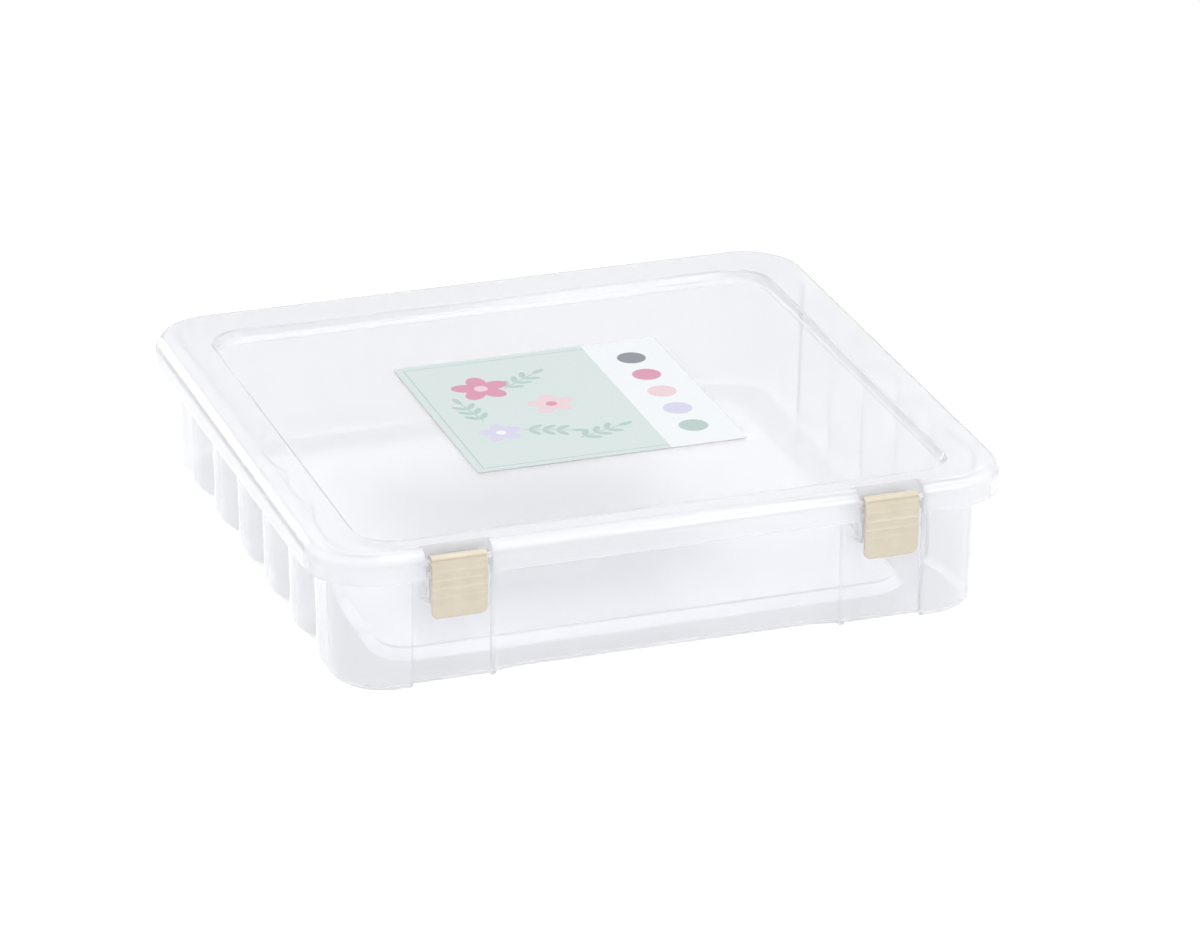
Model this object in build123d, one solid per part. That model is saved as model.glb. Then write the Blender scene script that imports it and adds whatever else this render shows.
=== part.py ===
from build123d import *
import math
import os

# A clear hinged case for flat craft paper: a tray with scalloped sides, a lid with a
# sunk panel, two snap latches at the front, and a printed card on the lid.
# Millimetres. X to the right, Y to the back, Z up, origin under the middle of the case.

# Overall size of the closed case
case_width = 360.0
case_depth = 335.0
case_height = 76.0
fitting_proud = 1.0          # latches and hinge barrels stand this far past the lid
fitting_from_side = 68.6     # middle of each latch and each hinge, from the case's side

# Lid
lid_wall = 1.8
lid_corner_radius = 34.0
lid_edge_radius = 7.0
lid_inner_chamfer = 3.0      # leaves the same wall inside the rounded edge
lid_draft = 1.0              # degrees
skirt_height = 14.6
panel_side_margin = 26.4
panel_front_margin = 19.2
panel_back_margin = 30.6
panel_drop = 4.5
panel_slope = 2.0            # the panel's edge leans in by this much on its way down
panel_corner_radius = 20.0
panel_foot_fillet = 1.5
panel_lip_bevel = 0.8

# Tray
tray_wall = 1.8
rim_gap = 0.3                # between the tray's rim and the underside of the lid
side_overhang = 11.4         # from the lid's side to the crest of the tray's lobes
front_overhang = 7.5
back_overhang = 5.7
tray_corner_radius = 28.0
side_draft = 1.4             # degrees
end_draft = 0.5              # degrees
foot_radius = 5.0
foot_steps = 4
inner_foot_chamfer = 1.9     # leaves the same wall inside the rounded foot

# Scallops in the tray's sides
lobe_count = 4
lobe_depth = 4.85
lobe_front_margin = 14.5     # straight stretch between the front corner and the first half lobe
lobe_back_margin = 20.8

# Raised middle of the tray's floor
floor_rise = 5.0
floor_side_margin = 26.0
floor_end_margin = 30.0
floor_corner_radius = 22.0
floor_edge_fillet = 1.5

# Steps in the tray's front wall
zone_half_width = 20.75      # each latch has a flat stretch of wall behind it
zone_step = 3.8
centre_step = 3.1
centre_blend = 18.0
step_lean = 0.6
ridge_width = 3.0
ridge_proud = 1.6

# Catch ledges on the tray, which the latches hook under
ledge_width = 31.0
ledge_height = 13.0
ledge_below_skirt = 0.7
ledge_proud = 7.3
ledge_corner_radius = 1.0

# Notches and bars in the lid that carry the latches
notch_width = 34.0
notch_depth = 9.1
bar_radius = 1.5
bar_set_back = 3.0           # from the lid's front edge to the bar's axis
bar_below_top = 6.6

# Latches
latch_width = 28.0
latch_height = 33.0
latch_thickness = 2.2
latch_bow = 0.7              # the grip bulges forward by this much
latch_corner_radius = 4.5
latch_toe_bevel = 1.0
barrel_radius = 3.3
running_clearance = 0.05
snap_slot = 2.2
catch_gap = 0.3
catch_reach = 2.7            # overlap of the latch's hook with the ledge
catch_tip = 1.5
hook_width = 22.0
hook_thickness = 3.4
flute_count = 5
flute_pitch = 4.5
flute_depth = 0.75
groove_radius = 0.6          # the groove above the first crest
groove_rise = 1.2

# Hinges at the back
hinge_pin_radius = 1.6
hinge_barrel_radius = 3.2
hinge_clip_width = 20.0
hinge_ear_width = 3.0
hinge_side_gap = 0.4
hinge_swing_gap = 0.4        # between the clip's barrel and the lid's skirt
hinge_slot = 2.4

# Card on the lid
card_size = 142.0
card_thickness = 0.3
card_shift_x = -0.9
card_shift_y = -2.8

half_width = case_width / 2
fitting_x = half_width - fitting_from_side
panel_lean = math.degrees(math.atan2(panel_slope, panel_drop))
lip_lean = (90 + panel_lean) / 2    # halfway between the flat rim and the panel's edge
lid_front_y = -case_depth / 2
lid_back_y = case_depth / 2
skirt_bottom = case_height - skirt_height
rim_z = case_height - lid_wall - rim_gap
overlap = 0.5                # how deep a rib or ear is rooted in the wall that carries it

tray_half_width = half_width - side_overhang
corner_front_y = lid_front_y + front_overhang
zone_front_y = corner_front_y + zone_step
centre_front_y = zone_front_y + centre_step
tray_back_y = lid_back_y - back_overhang
first_lobe_y = corner_front_y + tray_corner_radius + lobe_front_margin
last_lobe_y = tray_back_y - tray_corner_radius - lobe_back_margin
lobe_pitch = (last_lobe_y - first_lobe_y) / (lobe_count + 1)
lobe_radius = lobe_pitch ** 2 / (8 * lobe_depth) + lobe_depth / 2

bar_y = lid_front_y + bar_set_back
bar_z = case_height - bar_below_top
hinge_y = lid_back_y + fitting_proud - hinge_barrel_radius
hinge_z = skirt_bottom - hinge_swing_gap - hinge_barrel_radius

ledge_top = skirt_bottom - ledge_below_skirt
ledge_bottom = ledge_top - ledge_height
ledge_front_y = zone_front_y - ledge_proud


def line(start, end, z):
    """A straight edge between two plan points at height z."""
    return Edge.make_line((*start, z), (*end, z))


def arc(centre, radius, first, last, z):
    """An arc about a plan point, from one angle in degrees to another, at height z."""
    def at(angle):
        turn = math.radians(angle)
        return (centre[0] + radius * math.cos(turn), centre[1] + radius * math.sin(turn), z)
    return Edge.make_three_point_arc(at(first), at((first + last) / 2), at(last))


def lobe_edges(inset, z):
    """The scalloped stretch of the right side, from front to back, with a half lobe at each end."""
    centre_x = tray_half_width - lobe_radius
    radius = lobe_radius - inset
    reach = math.degrees(math.asin(lobe_pitch / 2 / radius))
    edges = [arc((centre_x, first_lobe_y), radius, 0, reach, z)]
    for i in range(1, lobe_count + 1):
        edges.append(arc((centre_x, first_lobe_y + i * lobe_pitch), radius, -reach, reach, z))
    edges.append(arc((centre_x, last_lobe_y), radius, -reach, 0, z))
    return edges


def tray_outline(z, side_inset, end_inset, corner):
    """The tray's plan at height z, as a closed wire drawn in from the rim's by the two insets."""
    side_x = tray_half_width - side_inset
    front_y = corner_front_y + end_inset
    zone_y = zone_front_y + end_inset
    centre_y = centre_front_y + end_inset
    back_y = tray_back_y - end_inset
    zone_in = fitting_x - zone_half_width
    zone_out = fitting_x + zone_half_width
    blend_start = zone_in - centre_blend
    blend_radius = (centre_blend ** 2 + centre_step ** 2) / (2 * centre_step)
    blend_turn = math.degrees(math.asin(centre_blend / blend_radius))
    lobes = lobe_edges(side_inset, z)
    lobes_front = lobes[0] @ 0
    lobes_back = lobes[-1] @ 1

    right = [
        arc((blend_start, centre_y - blend_radius), blend_radius, 90, 90 - blend_turn, z),
        line((zone_in, zone_y), (zone_out, zone_y), z),
        line((zone_out, zone_y), (zone_out + step_lean, front_y), z),
        line((zone_out + step_lean, front_y), (side_x - corner, front_y), z),
        arc((side_x - corner, front_y + corner), corner, -90, 0, z),
        line((side_x, front_y + corner), (side_x, lobes_front.Y), z),
        *lobes,
        line((side_x, lobes_back.Y), (side_x, back_y - corner), z),
        arc((side_x - corner, back_y - corner), corner, 0, 90, z),
    ]
    left = [edge.mirror(Plane.YZ) for edge in reversed(right)]
    front = line((-blend_start, centre_y), (blend_start, centre_y), z)
    back = line((side_x - corner, back_y), (corner - side_x, back_y), z)
    return Wire([front, *right, back, *left])


def tray_section(z, inset):
    """The tray's plan at height z, drawn in by the walls' draft and a further inset."""
    below_rim = rim_z - z
    side_inset = inset + math.tan(math.radians(side_draft)) * below_rim
    end_inset = inset + math.tan(math.radians(end_draft)) * below_rim
    return tray_outline(z, side_inset, end_inset, tray_corner_radius - inset)


def tray_outside():
    """The tray's outer form: a quarter-round foot lofted round the outline, and drafted walls."""
    sections = []
    for i in range(foot_steps + 1):
        turn = math.radians(90 * i / foot_steps)
        rise = foot_radius * (1 - math.cos(turn))
        draw_in = foot_radius * (1 - math.sin(turn))
        sections.append(tray_section(rise, draw_in))
    foot = Solid.make_loft(sections)
    walls = Solid.make_loft([sections[-1], tray_section(rim_z, 0)], ruled=True)
    return Part() + foot + walls


def tray_inside():
    """The space inside the tray's walls, with a chamfer round its floor."""
    sections = [
        tray_section(tray_wall, tray_wall + inner_foot_chamfer),
        tray_section(tray_wall + inner_foot_chamfer, tray_wall),
        tray_section(rim_z + overlap, tray_wall),
    ]
    return Solid.make_loft(sections, ruled=True)


def rounded_slab(half_x, front_y, back_y, corner, bottom, height, taper):
    """A slab with rounded corners, narrower at its top by the taper in degrees."""
    middle = Location((0, (front_y + back_y) / 2, bottom))
    outline = RectangleRounded(2 * half_x, back_y - front_y, corner)
    return extrude(middle * outline, amount=height, taper=taper)


def raised_floor(drop):
    """The raised middle of the floor, with a 45 degree edge, or its underside when drop isn't zero."""
    rise = tray_wall + floor_rise - drop
    slant = drop * math.sqrt(2)
    half_x = tray_half_width - floor_side_margin - slant
    front_y = corner_front_y + floor_end_margin + slant
    back_y = tray_back_y - floor_end_margin - slant
    return rounded_slab(half_x, front_y, back_y, floor_corner_radius - slant, 0, rise, 45)


def span_box(x_range, y_range, z_range):
    """A box given by its limits along each axis."""
    size = [high - low for low, high in (x_range, y_range, z_range)]
    middle = [(high + low) / 2 for low, high in (x_range, y_range, z_range)]
    return Pos(*middle) * Box(*size)


def x_cylinder(radius, x_range, y, z):
    """A cylinder along X."""
    low, high = x_range
    return Pos((low + high) / 2, y, z) * Rot(0, 90, 0) * Cylinder(radius, high - low)


def on_both_sides(shape):
    """A shape on the right and its mirror image on the left."""
    return Part() + shape + mirror(shape, Plane.YZ)


def catch_ledge():
    """The hollow ledge on the right that a latch hooks under, open at its top."""
    low, high = fitting_x - ledge_width / 2, fitting_x + ledge_width / 2
    root_y = zone_front_y + tray_wall
    outside = span_box((low, high), (ledge_front_y, root_y), (ledge_bottom, ledge_top))
    pocket = span_box(
        (low + tray_wall, high - tray_wall),
        (ledge_front_y + tray_wall, root_y + overlap),
        (ledge_bottom + tray_wall, ledge_top + overlap),
    )
    front_edges = outside.edges().filter_by(Axis.Z).group_by(Axis.Y)[0]
    return fillet(front_edges, ledge_corner_radius) - pocket


def wall_ridge():
    """The upright ridge where the middle of the front wall meets the right latch's stretch."""
    middle = fitting_x - zone_half_width
    ridge = span_box(
        (middle - ridge_width / 2, middle + ridge_width / 2),
        (zone_front_y - ridge_proud, centre_front_y + foot_radius),
        (0, ledge_top),
    )
    foot_edge = ridge.edges().filter_by(Axis.X).group_by(Axis.Z)[0].sort_by(Axis.Y)[0]
    ridge = fillet(foot_edge, foot_radius)
    front_edges = ridge.edges().filter_by(Axis.Z).group_by(Axis.Y)[0]
    return chamfer(front_edges, ridge_width / 4)


def hinge_clip():
    """The right snap clip on the back wall, which the lid's hinge pin is pressed into."""
    span = (fitting_x - hinge_clip_width / 2, fitting_x + hinge_clip_width / 2)
    web_half = hinge_barrel_radius * 0.8
    barrel = x_cylinder(hinge_barrel_radius, span, hinge_y, hinge_z)
    web = span_box(span, (tray_back_y - 2 * overlap, hinge_y), (hinge_z - web_half, hinge_z + web_half))
    bore = x_cylinder(hinge_pin_radius + running_clearance, span, hinge_y, hinge_z)
    slot = Pos(fitting_x, hinge_y, hinge_z) * Rot(-45, 0, 0) * Pos(0, hinge_barrel_radius, 0) * Box(
        hinge_clip_width, 2 * hinge_barrel_radius, hinge_slot
    )
    return barrel + web - bore - slot


def make_tray():
    """The tray: an open tub with scalloped sides, a rounded foot and a raised floor."""
    inside = tray_inside()
    floor = raised_floor(0)
    tray = tray_outside() - inside
    tray += fillet(floor.faces().sort_by(Axis.Z)[-1].edges(), floor_edge_fillet)
    tray -= raised_floor(tray_wall)
    fittings = on_both_sides(catch_ledge()) + on_both_sides(wall_ridge()) + on_both_sides(hinge_clip())
    return tray + (fittings - inside)


def lid_block(wall):
    """The lid's outside, or the space under it when wall isn't zero, before its top edge is eased."""
    return rounded_slab(
        half_width - wall, lid_front_y + wall, lid_back_y - wall,
        lid_corner_radius - wall, skirt_bottom, skirt_height - wall, lid_draft,
    )


def panel_pan(grown, depth, lean):
    """The sunk panel's form down from the lid's top, grown all round and leaning in by an angle in degrees."""
    half_x = half_width - panel_side_margin + grown
    front_y = lid_front_y + panel_front_margin - grown
    back_y = lid_back_y - panel_back_margin + grown
    outline = RectangleRounded(2 * half_x, back_y - front_y, panel_corner_radius + grown)
    middle = Location((0, (front_y + back_y) / 2, case_height))
    return extrude(middle * outline, amount=-depth, taper=lean)


def notch_box(wall):
    """The space that the right latch needs in the lid, grown by wall on its sides and back."""
    return span_box(
        (fitting_x - notch_width / 2 - wall, fitting_x + notch_width / 2 + wall),
        (lid_front_y - overlap, lid_front_y + notch_depth + wall),
        (skirt_bottom - overlap, case_height + overlap),
    )


def hinge_ear(middle_x):
    """One of the lid's ears, which hangs from the skirt and holds an end of a hinge pin."""
    root_top = skirt_bottom + 2 * hinge_barrel_radius
    skirt_inside = lid_back_y - lid_wall
    with BuildSketch(Plane.YZ.offset(middle_x - hinge_ear_width / 2)) as side:
        with Locations((hinge_y, hinge_z)):
            Circle(hinge_barrel_radius)
        Polygon(
            (hinge_y - hinge_barrel_radius, hinge_z),
            (hinge_y + hinge_barrel_radius, hinge_z),
            (skirt_inside + lid_wall / 2, root_top),
            (skirt_inside - overlap, root_top),
            align=None,
        )
    return extrude(side.sketch, amount=hinge_ear_width)


def hinge_pin():
    """The right hinge pin and its two ears."""
    offset = hinge_clip_width / 2 + hinge_side_gap + hinge_ear_width / 2
    span = (fitting_x - offset, fitting_x + offset)
    pin = x_cylinder(hinge_pin_radius, span, hinge_y, hinge_z)
    return pin + hinge_ear(span[0]) + hinge_ear(span[1])


def latch_bar():
    """The bar across the right notch that the latch turns on."""
    reach = notch_width / 2 + overlap
    return x_cylinder(bar_radius, (fitting_x - reach, fitting_x + reach), bar_y, bar_z)


def make_lid():
    """The lid: a shallow shell with a sunk panel, latch notches and hinge pins."""
    outside, inside = lid_block(0), lid_block(lid_wall)
    outside = fillet(outside.faces().sort_by(Axis.Z)[-1].edges(), lid_edge_radius)
    inside = chamfer(inside.faces().sort_by(Axis.Z)[-1].edges(), lid_inner_chamfer)
    lid = outside - (inside - on_both_sides(notch_box(lid_wall)))
    lid += panel_pan(lid_wall, panel_drop + lid_wall, panel_lean)
    pan = panel_pan(0, panel_drop, panel_lean)
    lid -= fillet(pan.faces().sort_by(Axis.Z)[0].edges(), panel_foot_fillet)
    lid -= panel_pan(panel_lip_bevel, 2 * panel_lip_bevel, lip_lean)
    lid -= on_both_sides(notch_box(0))
    return lid + on_both_sides(latch_bar()) + on_both_sides(hinge_pin())


def latch_plate():
    """The latch's side view without its hook: a barrel and a bowed grip."""
    bottom_z = bar_z + barrel_radius - latch_height
    front_y = bar_y - barrel_radius
    inner_y = front_y + latch_thickness
    crown = (lid_front_y - fitting_proud, (bar_z + bottom_z) / 2)
    toe = (front_y + latch_bow, bottom_z + latch_toe_bevel)
    with BuildSketch(Plane.YZ) as side:
        with BuildLine():
            ThreePointArc((front_y, bar_z), crown, toe)
            Polyline(
                toe,
                (front_y + latch_bow + latch_toe_bevel, bottom_z),
                (inner_y, bottom_z),
                (inner_y, bar_z),
                (front_y, bar_z),
            )
        make_face()
        with Locations((bar_y, bar_z)):
            Circle(barrel_radius)
    return side.sketch


def latch_hook():
    """The side view of the hook behind the latch's lower end, which reaches under the ledge."""
    bottom_z = bar_z + barrel_radius - latch_height
    top_z = ledge_bottom - catch_gap
    root_y = bar_y - barrel_radius + latch_thickness - overlap
    back_y = bar_y - barrel_radius + hook_thickness
    tip_y = ledge_front_y + catch_reach
    with BuildSketch(Plane.YZ) as side:
        Polygon(
            (root_y, bottom_z + catch_tip),
            (back_y, bottom_z + catch_tip),
            (back_y, top_z - 2 * catch_tip),
            (tip_y, top_z - catch_tip),
            (tip_y, top_z),
            (root_y, top_z),
            align=None,
        )
    return side.sketch


def centred_extrusion(sketch, width):
    """A side view drawn out along X, about the middle of the right latch."""
    return extrude(Pos(fitting_x - width / 2, 0, 0) * sketch, amount=width)


def make_latch():
    """The right latch, in its closed place."""
    bottom_z = bar_z + barrel_radius - latch_height
    span = (fitting_x - latch_width / 2, fitting_x + latch_width / 2)
    outline = span_box(
        span,
        (lid_front_y - 3 * fitting_proud, lid_front_y + notch_depth),
        (bottom_z, case_height),
    )
    lower_corners = outline.edges().filter_by(Axis.Y).group_by(Axis.Z)[0]
    body = centred_extrusion(latch_plate(), latch_width) & fillet(lower_corners, latch_corner_radius)
    body += centred_extrusion(latch_hook(), hook_width)

    body -= x_cylinder(bar_radius + running_clearance, span, bar_y, bar_z)
    body -= span_box(span, (bar_y, bar_y + 2 * barrel_radius), (bar_z - snap_slot / 2, bar_z + snap_slot / 2))

    flute_radius = flute_pitch ** 2 / (8 * flute_depth) + flute_depth / 2
    flute_y = lid_front_y - fitting_proud + flute_depth - flute_radius
    for i in range(flute_count):
        body -= x_cylinder(flute_radius, span, flute_y, bar_z - (i + 0.5) * flute_pitch)
    groove_y = bar_y - math.sqrt(barrel_radius ** 2 - groove_rise ** 2)
    body -= x_cylinder(groove_radius, span, groove_y, bar_z + groove_rise)
    return body


def make_card():
    """The printed card stuck on the lid's panel."""
    middle_z = case_height - panel_drop + card_thickness / 2
    return Pos(card_shift_x, card_shift_y, middle_z) * Box(card_size, card_size, card_thickness)


os.makedirs("parts", exist_ok=True)
right_latch = make_latch()

export_step(make_tray(), "parts/base_tray.step")
export_step(make_lid(), "parts/lid.step")
export_step(right_latch, "parts/latch_right.step")
export_step(mirror(right_latch, Plane.YZ), "parts/latch_left.step")
export_step(make_card(), "parts/label_card.step")
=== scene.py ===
import math

import bmesh
import bpy
from mathutils import Matrix, Vector


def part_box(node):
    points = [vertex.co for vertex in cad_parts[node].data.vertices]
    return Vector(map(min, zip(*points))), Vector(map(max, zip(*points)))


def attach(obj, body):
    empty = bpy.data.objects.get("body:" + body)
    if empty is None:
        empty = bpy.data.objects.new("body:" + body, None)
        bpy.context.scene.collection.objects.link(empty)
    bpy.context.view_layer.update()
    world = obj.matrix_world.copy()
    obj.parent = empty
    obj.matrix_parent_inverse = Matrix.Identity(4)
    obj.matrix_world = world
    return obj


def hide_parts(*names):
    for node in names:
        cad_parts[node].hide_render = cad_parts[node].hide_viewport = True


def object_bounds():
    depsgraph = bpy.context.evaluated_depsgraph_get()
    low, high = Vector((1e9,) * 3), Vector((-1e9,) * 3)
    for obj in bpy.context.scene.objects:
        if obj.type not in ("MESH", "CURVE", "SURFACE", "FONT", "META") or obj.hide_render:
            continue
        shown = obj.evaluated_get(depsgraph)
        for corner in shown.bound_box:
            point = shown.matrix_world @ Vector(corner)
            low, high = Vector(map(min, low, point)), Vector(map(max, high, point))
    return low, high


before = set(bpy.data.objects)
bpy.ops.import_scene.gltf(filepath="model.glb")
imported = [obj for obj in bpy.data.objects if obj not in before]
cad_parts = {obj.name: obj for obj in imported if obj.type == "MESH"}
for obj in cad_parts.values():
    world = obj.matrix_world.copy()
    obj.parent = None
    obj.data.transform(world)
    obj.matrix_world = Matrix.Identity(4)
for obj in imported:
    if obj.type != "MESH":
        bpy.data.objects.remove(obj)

cad_low, cad_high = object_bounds()
MM = 0.001

# Camera, fitted to the photograph's outline of the case
IMAGE_WIDTH = 1200
IMAGE_HEIGHT = 934
SENSOR_WIDTH = 36.0
FOCAL_PIXELS = 5959.4
AXIS_PIXEL_X = 567.5
AXIS_PIXEL_Y = 393.25
CAMERA_DISTANCE = 3.034
CAMERA_AZIMUTH = -18.81
CAMERA_ELEVATION = 22.52
CAMERA_ROLL = 0.15
CAMERA_REACH = 50.0

# Colours, linear
WHITE = (1.0, 1.0, 1.0)
PLASTIC = (0.948, 0.951, 0.966)
PLASTIC_FILM = (0.985, 0.985, 0.99)
IVORY = (0.80, 0.735, 0.585)
IVORY_DEEP = (0.72, 0.64, 0.49)
SAGE = (0.71, 0.80, 0.785)
SAGE_DEEP = (0.50, 0.64, 0.60)
CARD_WHITE = (0.92, 0.95, 0.965)
CARD_GRAIN = (0.94, 0.95, 0.95)
BOARD = (0.62, 0.60, 0.56)
SLATE = (0.27, 0.30, 0.33)
ROSE = (0.74, 0.33, 0.46)
BLUSH = (0.88, 0.68, 0.72)
LILAC = (0.72, 0.70, 0.86)
FLOOR = (0.90, 0.90, 0.90)
SURROUND_LOW = (0.84, 0.84, 0.88)

# Clear plastic: a low bending of light, as thin walls show it, under a glossy skin
PLASTIC_IOR = 1.18
PLASTIC_ROUGHNESS = 0.03
TRAY_CLEARNESS = 0.75
LID_CLEARNESS = 0.70
SKIN_IOR = 1.5
SKIN_ROUGHNESS = 0.03

# Ivory plastic, with its edges rounded to the eye by this many millimetres, and card
IVORY_IOR = 1.5
IVORY_EDGE = 0.3
IVORY_EDGE_SAMPLES = 6
CARD_IOR = 1.45

# How far noise of middling contrast reaches from its middle value of 0.5
NOISE_REACH = 0.2

# Light that the floor adds of its own: to the eye and in gloss, and seen through plastic
FLOOR_GLOW = 0.25
FLOOR_GLOW_THROUGH = 0.02
FLOOR_RADIUS = 8.0
FLOOR_SIDES = 96

# The surroundings: how bright they are in gloss, and the height at which they turn white
SURROUND_STRENGTH = 0.75
SURROUND_WHITE_FROM = 0.6

# Softboxes: name, place and what it faces in metres, width and height in metres, watts
CASE_FOOT = (0, 0, 0)
CASE_MIDDLE = (0, 0, 0.05)
SOFTBOXES = [
    ("softbox_top", (0.4, 0.0, 2.2), CASE_FOOT, (1.4, 0.8), 8),
    ("softbox_left", (-2.2, -0.6, 1.3), CASE_MIDDLE, (0.8, 1.6), 3.5),
    ("softbox_back_left", (-0.95, 2.5, 0.75), CASE_MIDDLE, (1.1, 1.0), 5),
    ("softbox_front", (0.9, -2.6, 1.17), CASE_MIDDLE, (1.2, 0.35), 2),
    ("strip_front", (0.77, -2.0, 1.47), CASE_MIDDLE, (1.6, 0.1), 4),
    ("strip_high", (0.66, -0.88, 1.91), CASE_MIDDLE, (2.0, 0.1), 4),
]

# Light paths long enough for the many clear walls behind each other
MOST_BOUNCES = 24
MOST_TRANSPARENT = 32

# The card: its middle on the lid, half its side, its round corners and its height above the panel
CARD_X = -0.9
CARD_Y = -2.8
CARD_HALF = 71.0
CARD_CORNER = 1.0
CARD_LIFT = 0.06
CORNER_STEPS = 6

# The card's print, in millimetres from its middle
BAND_WIDTH = 40.0
FRAME_INSET = 4.0
FRAME_LINE = 0.7
SWATCH_RADIUS = 7.5
SWATCHES = [SLATE, ROSE, BLUSH, LILAC, SAGE_DEEP]

# Blossoms: x, y, radius and the colours of petals and heart. A petal's numbers are shares of the radius
PETALS = 5
PETAL_REACH = 0.55
PETAL_SIZE = (0.48, 0.34)
HEART_SIZE = 0.24
BLOSSOMS = [(-36, 32, 15, ROSE, BLUSH), (-8, 2, 12, BLUSH, ROSE), (-44, -26, 11, LILAC, CARD_WHITE)]

# Sprigs: x, y and turn in degrees
STEM_SIZE = (13.0, 0.45)
LEAF_SIZE = (4.2, 1.7)
LEAF_PAIRS = 3
LEAF_PITCH = 7.0
LEAF_OFFSET = 3.4
LEAF_TURN = 42
TIP_REACH = 16.0
SPRIGS = [(-14, 36, 35), (-50, 4, 100), (-20, -30, -20), (4, -40, 20)]


def rgba(colour):
    """A colour with full alpha."""
    return (*colour, 1.0)


def new_material(name):
    """An empty node material and its output node."""
    material = bpy.data.materials.new(name)
    material.use_nodes = True
    material.node_tree.nodes.clear()
    return material, material.node_tree.nodes.new("ShaderNodeOutputMaterial")


def node(tree, kind, **values):
    """A shader node with some of its sockets set. A socket's name is written with _ for each space."""
    made = tree.nodes.new(kind)
    for name, value in values.items():
        made.inputs[name.replace("_", " ")].default_value = value
    return made


def maths(tree, operation, *values):
    """The result of a sum on sockets and plain numbers."""
    made = tree.nodes.new("ShaderNodeMath")
    made.operation = operation
    for i, value in enumerate(values):
        if isinstance(value, bpy.types.NodeSocket):
            tree.links.new(value, made.inputs[i])
        else:
            made.inputs[i].default_value = value
    return made.outputs[0]


def colour_mix(tree, blend="MIX"):
    """A node that mixes two colours."""
    made = tree.nodes.new("ShaderNodeMix")
    made.data_type = "RGBA"
    made.blend_type = blend
    return made


def object_coordinates(tree):
    """The socket with the place in the case's frame, in metres."""
    return node(tree, "ShaderNodeTexCoord").outputs["Object"]


def fine_bump(tree, scale, depth, strength, under=None):
    """The normal socket of a faint unevenness of the surface, on top of another normal if one is given."""
    noise = node(tree, "ShaderNodeTexNoise", Scale=scale, Detail=3.0)
    tree.links.new(object_coordinates(tree), noise.inputs["Vector"])
    bump = node(tree, "ShaderNodeBump", Strength=strength, Distance=depth * MM)
    tree.links.new(noise.outputs["Fac"], bump.inputs["Height"])
    if under:
        tree.links.new(under, bump.inputs["Normal"])
    return bump.outputs["Normal"]


def varied(tree, scale, low, high):
    """A socket whose value drifts between low and high over the surface."""
    noise = node(tree, "ShaderNodeTexNoise", Scale=scale, Detail=2.0)
    tree.links.new(object_coordinates(tree), noise.inputs["Vector"])
    spread = node(
        tree,
        "ShaderNodeMapRange",
        From_Min=0.5 - NOISE_REACH,
        From_Max=0.5 + NOISE_REACH,
        To_Min=low,
        To_Max=high,
    )
    tree.links.new(noise.outputs["Fac"], spread.inputs["Value"])
    return spread.outputs["Result"]


def clear_plastic(name, clearness):
    """Clear moulded plastic with a faint milky haze, which lets the lamps' light through."""
    material, output = new_material(name)
    tree = material.node_tree
    shader = node(
        tree,
        "ShaderNodeBsdfPrincipled",
        Base_Color=rgba(PLASTIC),
        IOR=PLASTIC_IOR,
        Transmission_Weight=clearness,
        Coat_Weight=1.0,
        Coat_IOR=SKIN_IOR,
        Coat_Roughness=SKIN_ROUGHNESS,
    )
    roughness = varied(tree, 18.0, PLASTIC_ROUGHNESS * 0.7, PLASTIC_ROUGHNESS * 1.3)
    tree.links.new(roughness, shader.inputs["Roughness"])
    tree.links.new(fine_bump(tree, 60.0, 0.1, 0.10), shader.inputs["Normal"])
    passing = node(tree, "ShaderNodeBsdfTransparent", Color=rgba(PLASTIC_FILM))
    path = tree.nodes.new("ShaderNodeLightPath")
    mix = tree.nodes.new("ShaderNodeMixShader")
    tree.links.new(path.outputs["Is Shadow Ray"], mix.inputs[0])
    tree.links.new(shader.outputs[0], mix.inputs[1])
    tree.links.new(passing.outputs[0], mix.inputs[2])
    tree.links.new(mix.outputs[0], output.inputs["Surface"])
    return material


def ivory_plastic(name):
    """Opaque cream plastic of the latches, a little deeper in tone where it varies, with softened edges."""
    material, output = new_material(name)
    tree = material.node_tree
    shader = node(tree, "ShaderNodeBsdfPrincipled", IOR=IVORY_IOR)
    tone = colour_mix(tree)
    tone.inputs["A"].default_value = rgba(IVORY)
    tone.inputs["B"].default_value = rgba(IVORY_DEEP)
    tree.links.new(varied(tree, 120.0, 0.0, 0.5), tone.inputs["Factor"])
    tree.links.new(tone.outputs["Result"], shader.inputs["Base Color"])
    tree.links.new(varied(tree, 60.0, 0.13, 0.19), shader.inputs["Roughness"])
    edges = node(tree, "ShaderNodeBevel", Radius=IVORY_EDGE * MM)
    edges.samples = IVORY_EDGE_SAMPLES
    tree.links.new(fine_bump(tree, 900.0, 0.01, 0.10, edges.outputs["Normal"]), shader.inputs["Normal"])
    tree.links.new(shader.outputs[0], output.inputs["Surface"])
    return material


def card_place(tree):
    """The place on the card in millimetres from its middle, flattened onto its face."""
    place = tree.nodes.new("ShaderNodeVectorMath")
    place.operation = "MULTIPLY_ADD"
    place.inputs[1].default_value = (1 / MM, 1 / MM, 0.0)
    place.inputs[2].default_value = (-CARD_X, -CARD_Y, 0.0)
    tree.links.new(object_coordinates(tree), place.inputs[0])
    return place.outputs[0]


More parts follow.
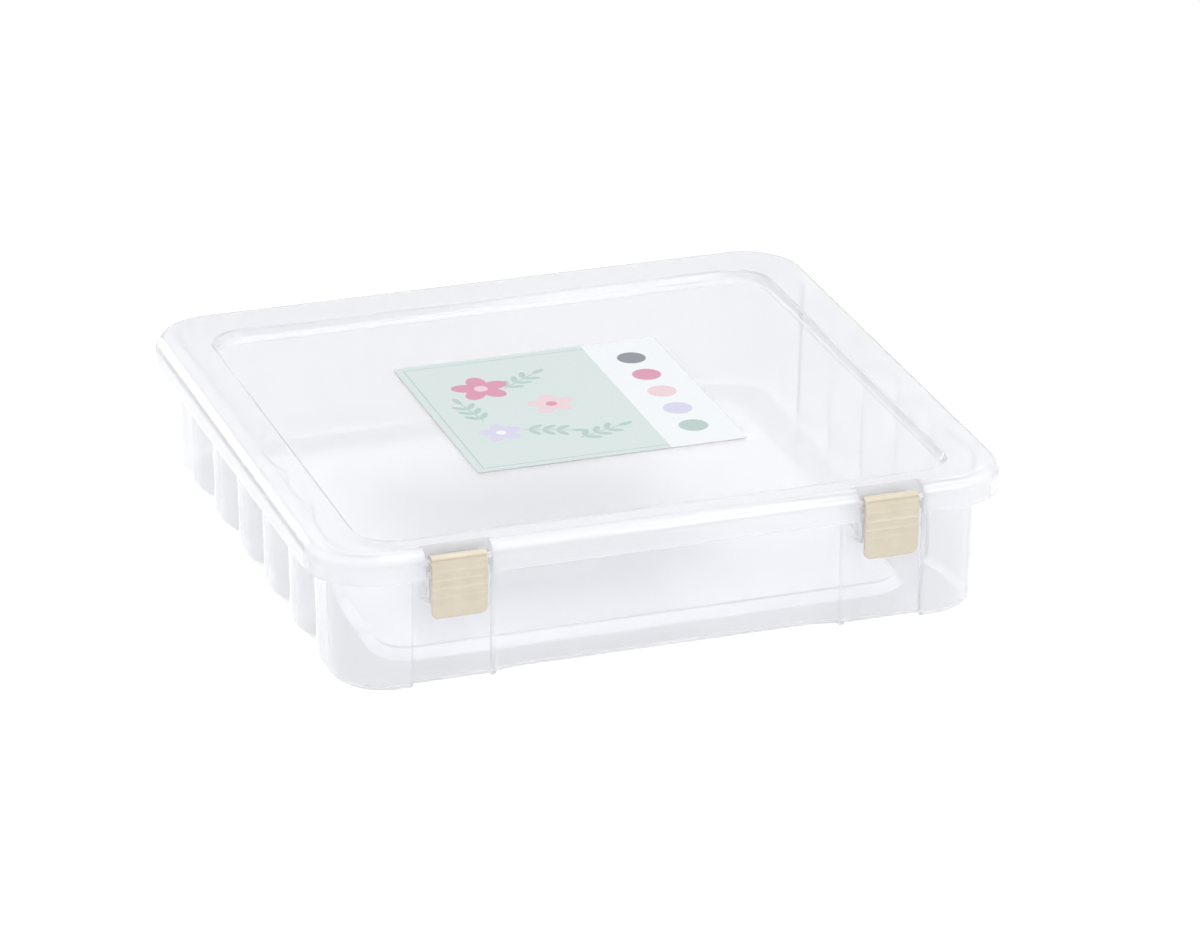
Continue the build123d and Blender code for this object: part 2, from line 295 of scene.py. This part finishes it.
def motif(tree, place, centre, half_size, turn, square):
    """A mask of one ellipse or rectangle on the card: 1 inside it and 0 outside."""
    local = node(
        tree,
        "ShaderNodeMapping",
        Location=(*centre, 0.0),
        Rotation=(0.0, 0.0, math.radians(turn)),
        Scale=(*half_size, 1.0),
    )
    local.vector_type = "TEXTURE"
    tree.links.new(place, local.inputs["Vector"])
    size = tree.nodes.new("ShaderNodeVectorMath")
    size.operation = "ABSOLUTE" if square else "LENGTH"
    tree.links.new(local.outputs[0], size.inputs[0])
    if square:
        split = tree.nodes.new("ShaderNodeSeparateXYZ")
        tree.links.new(size.outputs["Vector"], split.inputs[0])
        reach = maths(tree, "MAXIMUM", split.outputs["X"], split.outputs["Y"])
    else:
        reach = size.outputs["Value"]
    return maths(tree, "LESS_THAN", reach, 1.0)


def blossom(x, y, radius, petal_colour, heart_colour):
    """The layers of one blossom: petals round a heart."""
    layers = []
    for i in range(PETALS):
        turn = 360 / PETALS * i + 90
        reach = PETAL_REACH * radius
        centre = (x + reach * math.cos(math.radians(turn)), y + reach * math.sin(math.radians(turn)))
        layers.append((petal_colour, centre, (PETAL_SIZE[0] * radius, PETAL_SIZE[1] * radius), turn, False))
    layers.append((heart_colour, (x, y), (HEART_SIZE * radius, HEART_SIZE * radius), 0.0, False))
    return layers


def sprig(x, y, turn):
    """The layers of one sprig: a stem with pairs of leaves along it and a leaf at its tip."""
    root = Vector((x, y))
    along = Vector((math.cos(math.radians(turn)), math.sin(math.radians(turn))))
    across = Vector((-along.y, along.x))
    layers = [(SAGE_DEEP, (x, y), STEM_SIZE, turn, True)]
    for i in range(LEAF_PAIRS):
        for side in (-1, 1):
            step = i - (LEAF_PAIRS - 1) / 2
            leaf = root + along * (LEAF_PITCH * step) + across * (LEAF_OFFSET * side)
            layers.append((SAGE_DEEP, tuple(leaf), LEAF_SIZE, turn + LEAF_TURN * side, False))
    layers.append((SAGE_DEEP, tuple(root + along * TIP_REACH), LEAF_SIZE, turn, False))
    return layers


def card_layers():
    """The print on the sage ground from the lowest layer up: colour, middle, half size, turn, square."""
    outer = CARD_HALF - FRAME_INSET
    inner = outer - FRAME_LINE
    band_x = CARD_HALF - BAND_WIDTH / 2
    layers = [
        (SAGE_DEEP, (0, 0), (outer, outer), 0.0, True),
        (SAGE, (0, 0), (inner, inner), 0.0, True),
        (CARD_WHITE, (band_x, 0), (BAND_WIDTH / 2, CARD_HALF), 0.0, True),
    ]
    for place in SPRIGS:
        layers += sprig(*place)
    for flower in BLOSSOMS:
        layers += blossom(*flower)
    pitch = 2 * CARD_HALF / (len(SWATCHES) + 1)
    for i, colour in enumerate(SWATCHES):
        centre = (band_x, CARD_HALF - (i + 1) * pitch)
        layers.append((colour, centre, (SWATCH_RADIUS, SWATCH_RADIUS), 0.0, False))
    return layers


def printed_card(name):
    """Smooth printed card: sage green with blossoms and a white band of colour swatches."""
    material, output = new_material(name)
    tree = material.node_tree
    place = card_place(tree)
    ground = None
    for colour, centre, half_size, turn, square in card_layers():
        layer = colour_mix(tree)
        layer.inputs["B"].default_value = rgba(colour)
        if ground:
            tree.links.new(ground, layer.inputs["A"])
        else:
            layer.inputs["A"].default_value = rgba(SAGE)
        tree.links.new(motif(tree, place, centre, half_size, turn, square), layer.inputs["Factor"])
        ground = layer.outputs["Result"]
    grain = colour_mix(tree, "MULTIPLY")
    grain.inputs["B"].default_value = rgba(CARD_GRAIN)
    tree.links.new(varied(tree, 900.0, 0.0, 0.6), grain.inputs["Factor"])
    tree.links.new(ground, grain.inputs["A"])
    shader = node(tree, "ShaderNodeBsdfPrincipled", IOR=CARD_IOR)
    tree.links.new(grain.outputs["Result"], shader.inputs["Base Color"])
    tree.links.new(varied(tree, 40.0, 0.30, 0.42), shader.inputs["Roughness"])
    tree.links.new(fine_bump(tree, 1200.0, 0.01, 0.2), shader.inputs["Normal"])
    tree.links.new(shader.outputs[0], output.inputs["Surface"])
    return material


def card_back(name):
    """The card's plain grey board, seen from below and at its edges."""
    material, output = new_material(name)
    tree = material.node_tree
    shader = node(tree, "ShaderNodeBsdfPrincipled", Base_Color=rgba(BOARD), IOR=CARD_IOR)
    tree.links.new(varied(tree, 300.0, 0.5, 0.7), shader.inputs["Roughness"])
    tree.links.new(fine_bump(tree, 2500.0, 0.02, 0.3), shader.inputs["Normal"])
    tree.links.new(shader.outputs[0], output.inputs["Surface"])
    return material


def floor_material(name):
    """A white floor that keeps the case's soft shadow under a glow of its own."""
    material, output = new_material(name)
    tree = material.node_tree
    path = tree.nodes.new("ShaderNodeLightPath")
    seen_through = path.outputs["Is Transmission Ray"]
    mirrored = maths(tree, "SUBTRACT", path.outputs["Is Glossy Ray"], seen_through)
    direct = maths(tree, "MAXIMUM", path.outputs["Is Camera Ray"], mirrored)
    through = maths(tree, "MULTIPLY", seen_through, FLOOR_GLOW_THROUGH)
    strength = maths(tree, "MULTIPLY_ADD", direct, FLOOR_GLOW, through)
    glow = node(tree, "ShaderNodeEmission", Color=rgba(WHITE))
    tree.links.new(strength, glow.inputs["Strength"])
    diffuse = node(tree, "ShaderNodeBsdfDiffuse", Color=rgba(FLOOR))
    add = tree.nodes.new("ShaderNodeAddShader")
    tree.links.new(diffuse.outputs[0], add.inputs[0])
    tree.links.new(glow.outputs[0], add.inputs[1])
    tree.links.new(add.outputs[0], output.inputs["Surface"])
    return material


def make_floor():
    """A broad round floor under the case."""
    bpy.ops.mesh.primitive_circle_add(
        vertices=FLOOR_SIDES,
        radius=FLOOR_RADIUS,
        fill_type="NGON",
        location=(0, 0, 0),
    )
    floor = bpy.context.object
    floor.name = "floor"
    floor.data.materials.append(floor_material("floor_white"))


def make_world():
    """Soft studio surroundings: white to the eye and through plastic, softer in gloss and as light."""
    world = bpy.data.worlds.new("studio")
    world.use_nodes = True
    tree = world.node_tree
    tree.nodes.clear()
    output = tree.nodes.new("ShaderNodeOutputWorld")
    direction = tree.nodes.new("ShaderNodeTexCoord").outputs["Generated"]
    split = tree.nodes.new("ShaderNodeSeparateXYZ")
    tree.links.new(direction, split.inputs[0])
    ramp = tree.nodes.new("ShaderNodeValToRGB")
    low_stop, white_stop = ramp.color_ramp.elements
    low_stop.position = 0.0
    low_stop.color = rgba(SURROUND_LOW)
    white_stop.position = SURROUND_WHITE_FROM
    white_stop.color = rgba(WHITE)
    tree.links.new(split.outputs["Z"], ramp.inputs[0])
    soft = node(tree, "ShaderNodeBackground", Strength=SURROUND_STRENGTH)
    tree.links.new(ramp.outputs[0], soft.inputs["Color"])
    white = node(tree, "ShaderNodeBackground", Color=rgba(WHITE), Strength=1.0)
    path = tree.nodes.new("ShaderNodeLightPath")
    seen = maths(tree, "MAXIMUM", path.outputs["Is Camera Ray"], path.outputs["Is Transmission Ray"])
    mix = tree.nodes.new("ShaderNodeMixShader")
    tree.links.new(seen, mix.inputs[0])
    tree.links.new(soft.outputs[0], mix.inputs[1])
    tree.links.new(white.outputs[0], mix.inputs[2])
    tree.links.new(mix.outputs[0], output.inputs["Surface"])
    bpy.context.scene.world = world


def make_softbox(name, place, target, size, watts):
    """A rectangular softbox that faces a target."""
    lamp = bpy.data.lights.new(name, "AREA")
    lamp.shape = "RECTANGLE"
    lamp.size, lamp.size_y = size
    lamp.energy = watts
    holder = bpy.data.objects.new(name, lamp)
    holder.location = place
    holder.rotation_euler = (Vector(target) - Vector(place)).to_track_quat("-Z", "Y").to_euler()
    bpy.context.scene.collection.objects.link(holder)


def make_camera():
    """The photograph's camera."""
    azimuth = math.radians(CAMERA_AZIMUTH)
    elevation = math.radians(CAMERA_ELEVATION)
    roll = math.radians(CAMERA_ROLL)
    back = Vector((
        math.sin(azimuth) * math.cos(elevation),
        -math.cos(azimuth) * math.cos(elevation),
        math.sin(elevation),
    ))
    level = Vector((math.cos(azimuth), math.sin(azimuth), 0.0))
    upright = back.cross(level)
    right = math.cos(roll) * level + math.sin(roll) * upright
    up = -math.sin(roll) * level + math.cos(roll) * upright
    turn = Matrix((right, up, back)).transposed().to_4x4()
    aim = Vector((0.0, 0.0, cad_high.z))

    data = bpy.data.cameras.new("camera")
    data.sensor_width = SENSOR_WIDTH
    data.lens = FOCAL_PIXELS * SENSOR_WIDTH / IMAGE_WIDTH
    data.shift_x = (IMAGE_WIDTH / 2 - AXIS_PIXEL_X) / IMAGE_WIDTH
    data.shift_y = (AXIS_PIXEL_Y - IMAGE_HEIGHT / 2) / IMAGE_WIDTH
    data.clip_end = CAMERA_REACH
    camera = bpy.data.objects.new("camera", data)
    camera.matrix_world = Matrix.Translation(aim + back * CAMERA_DISTANCE) @ turn
    bpy.context.scene.collection.objects.link(camera)
    bpy.context.scene.camera = camera


def card_outline(half_x, half_y):
    """The card's outline round its middle: a rectangle with small round corners."""
    reach = CARD_CORNER * MM
    points = []
    for i in range(4):
        corner_x = half_x - reach if i in (0, 3) else reach - half_x
        corner_y = half_y - reach if i in (0, 1) else reach - half_y
        for step in range(CORNER_STEPS + 1):
            turn = math.radians(90 * i + 90 * step / CORNER_STEPS)
            points.append((corner_x + reach * math.cos(turn), corner_y + reach * math.sin(turn)))
    return points


def make_card():
    """The printed card on the lid, a hair above the panel, with its print on top and a plain back."""
    lower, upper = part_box("label_card")
    middle = (lower + upper) / 2
    half = (upper - lower) / 2
    outline = [(middle.x + x, middle.y + y) for x, y in card_outline(half.x, half.y)]
    form = bmesh.new()
    under = [form.verts.new((x, y, lower.z + CARD_LIFT * MM)) for x, y in outline]
    top = [form.verts.new((x, y, upper.z)) for x, y in outline]
    form.faces.new(reversed(under)).material_index = 1
    form.faces.new(top).material_index = 0
    for i in range(len(top)):
        following = (i + 1) % len(top)
        form.faces.new((under[i], under[following], top[following], top[i])).material_index = 1
    mesh = bpy.data.meshes.new("craft_card")
    form.to_mesh(mesh)
    form.free()
    card = bpy.data.objects.new("craft_card", mesh)
    bpy.context.scene.collection.objects.link(card)
    card.data.materials.append(printed_card("printed_card"))
    card.data.materials.append(card_back("card_back"))
    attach(card, "lid")
    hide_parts("label_card")


def dress(name, material):
    """Gives a CAD node its material."""
    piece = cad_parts[name]
    piece.data.materials.clear()
    piece.data.materials.append(material)


make_camera()
make_world()
make_floor()
for softbox in SOFTBOXES:
    make_softbox(*softbox)

dress("base_tray", clear_plastic("clear_tray", TRAY_CLEARNESS))
dress("lid", clear_plastic("clear_lid", LID_CLEARNESS))
ivory = ivory_plastic("ivory_latches")
dress("latch_left", ivory)
dress("latch_right", ivory)
make_card()

scene = bpy.context.scene
scene.view_settings.view_transform = "Standard"
scene.cycles.max_bounces = MOST_BOUNCES
scene.cycles.transmission_bounces = MOST_BOUNCES
scene.cycles.transparent_max_bounces = MOST_TRANSPARENT
